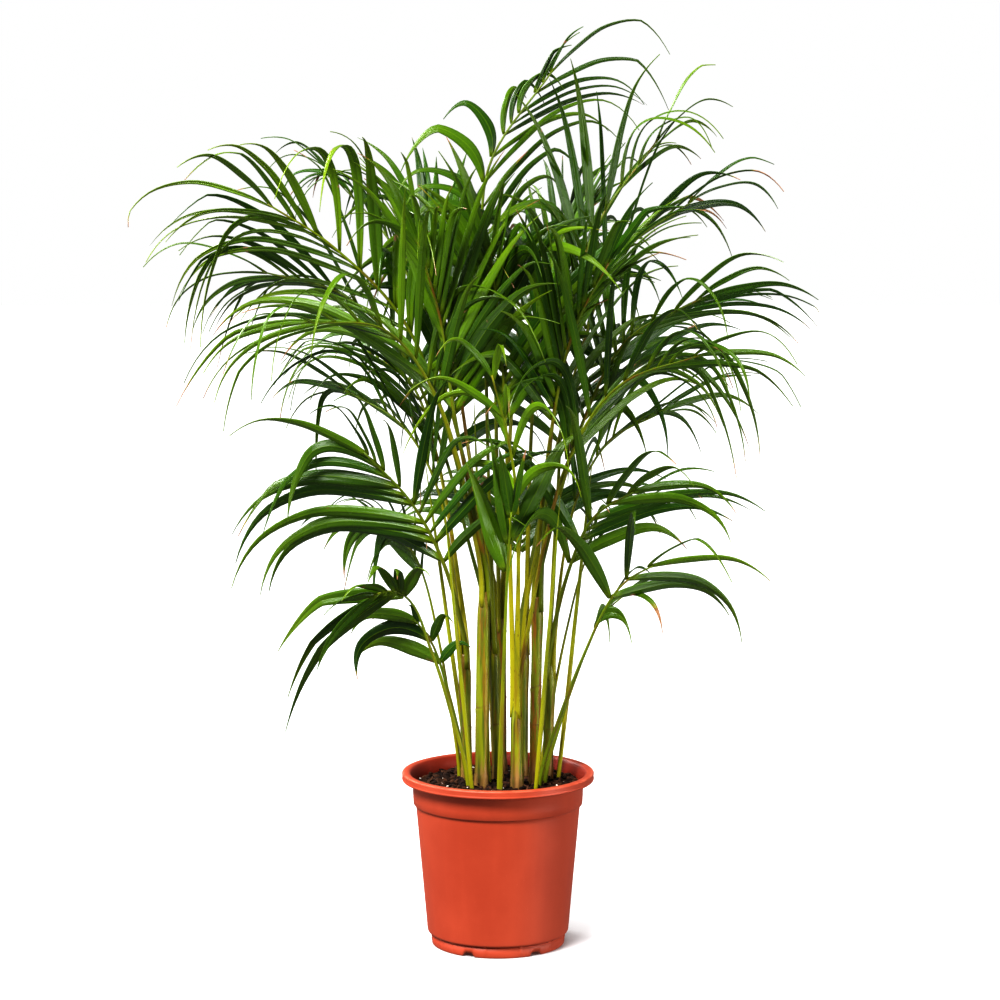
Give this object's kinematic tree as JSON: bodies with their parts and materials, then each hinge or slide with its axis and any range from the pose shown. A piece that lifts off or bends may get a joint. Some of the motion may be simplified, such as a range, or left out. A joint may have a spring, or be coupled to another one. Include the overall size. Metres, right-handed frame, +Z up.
{
  "type": "potted palm",
  "caption": "Young areca palm with a clump of canes and arching feather fronds, in a round tapered plastic nursery pot filled with potting soil.",
  "frame": {"origin": "middle of the pot's underside, on the surface that the pot stands on", "axes": "+Z up along the plant; -Y towards the front of the picture, +X to its right"},
  "size_m": [0.7353, 0.587, 1.006],
  "materials": {
    "pot": "terracotta-coloured moulded plastic, satin",
    "soil": "dark crumbly peat and bark potting mix",
    "cane": "smooth yellow-green cane with brown scars",
    "leaf": "satin green blade with a paler rib, petiole yellow-green",
    "spear": "smooth pale green unopened leaf"
  },
  "bodies": {
    "root": {"cane_1": "cane", "cane_2": "cane", "cane_3": "cane", "cane_4": "cane", "cane_5": "cane", "cane_6": "cane", "cane_7": "cane", "cane_8": "cane", "frond_back": "leaf", "frond_back_left": "leaf", "frond_back_low": "leaf", "frond_back_right": "leaf", "frond_front": "leaf", "frond_front_bright": "leaf", "frond_front_left": "leaf", "frond_front_low": "leaf", "frond_front_right": "leaf", "frond_left_back": "leaf", "frond_left_fan": "leaf", "frond_left_front": "leaf", "frond_left_high": "leaf", "frond_left_long": "leaf", "frond_left_low": "leaf", "frond_left_middle": "leaf", "frond_left_side": "leaf", "frond_left_small": "leaf", "frond_middle_left": "leaf", "frond_middle_right": "leaf", "frond_right_arch": "leaf", "frond_right_fan": "leaf", "frond_right_front": "leaf", "frond_right_high": "leaf", "frond_right_long": "leaf", "frond_right_low": "leaf", "frond_right_middle": "leaf", "frond_right_side": "leaf", "frond_right_small": "leaf", "frond_top": "leaf", "pot": "pot", "soil": "soil", "spear_1": "spear", "spear_2": "spear", "spear_3": "spear", "spear_4": "spear", "spear_5": "spear", "spear_6": "spear", "spear_7": "spear"}
  },
  "joints": []
}
